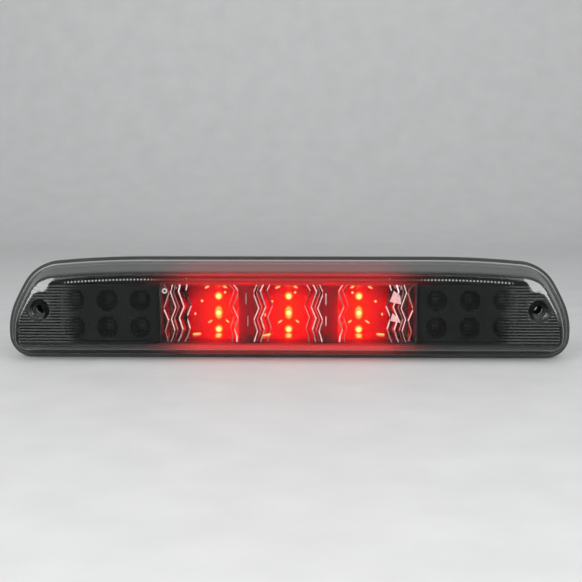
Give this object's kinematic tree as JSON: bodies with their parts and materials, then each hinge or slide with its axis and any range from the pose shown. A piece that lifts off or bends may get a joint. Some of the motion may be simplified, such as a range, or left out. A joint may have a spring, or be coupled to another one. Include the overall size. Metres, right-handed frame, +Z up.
{
  "type": "third brake light",
  "caption": "Smoked LED third brake light for a pickup cab: red brake section between two dark cargo lamp sections, under one fluted lens",
  "frame": {"origin": "on the mounting plane (rear face of the cab gasket), midway between the two screw holes", "axes": "+X along the lamp, +Y to the rear (into the cab), +Z up; the lens faces -Y"},
  "size_m": [0.4008, 0.0502, 0.0723],
  "materials": {
    "smoked_lens": "polished smoked polycarbonate",
    "black_abs": "satin moulded",
    "sealant": "cured adhesive bead",
    "foam": "closed-cell foam",
    "reflector_chrome": "vacuum-metallised",
    "circuit_board": "solder mask",
    "red_led": "clear red epoxy, lit",
    "solder": "tinned",
    "resistor_body": "lacquered",
    "black_epoxy": "moulded",
    "white_nylon": "moulded",
    "screw_steel": "zinc plated",
    "black_rubber": "moulded",
    "vent_plastic": "moulded",
    "dark_bezel": "dark metallised",
    "white_led": "surface-mount package",
    "wire_jacket": "PVC jacket"
  },
  "bodies": {
    "root": {"lens": "smoked_lens", "housing": "black_abs", "lens_sealant": "sealant", "cab_gasket": "foam", "brake_reflector": "reflector_chrome", "brake_board": "circuit_board", "brake_leds_left": "red_led", "brake_leds_center": "red_led", "brake_leds_right": "red_led", "brake_led_leads": "solder", "brake_resistors": "resistor_body", "reverse_diode": "black_epoxy", "brake_wire_header": "white_nylon", "reflector_screws": "screw_steel", "wire_grommet": "black_rubber", "breather_vent": "vent_plastic", "cargo_bezel_left": "dark_bezel", "cargo_board_left": "circuit_board", "cargo_leds_left": "white_led", "cargo_resistors_left": "black_epoxy", "jumper_wires_left": "wire_jacket", "bezel_screws_left": "screw_steel", "cargo_bezel_right": "dark_bezel", "cargo_board_right": "circuit_board", "cargo_leds_right": "white_led", "cargo_resistors_right": "black_epoxy", "jumper_wires_right": "wire_jacket", "bezel_screws_right": "screw_steel"}
  },
  "joints": []
}
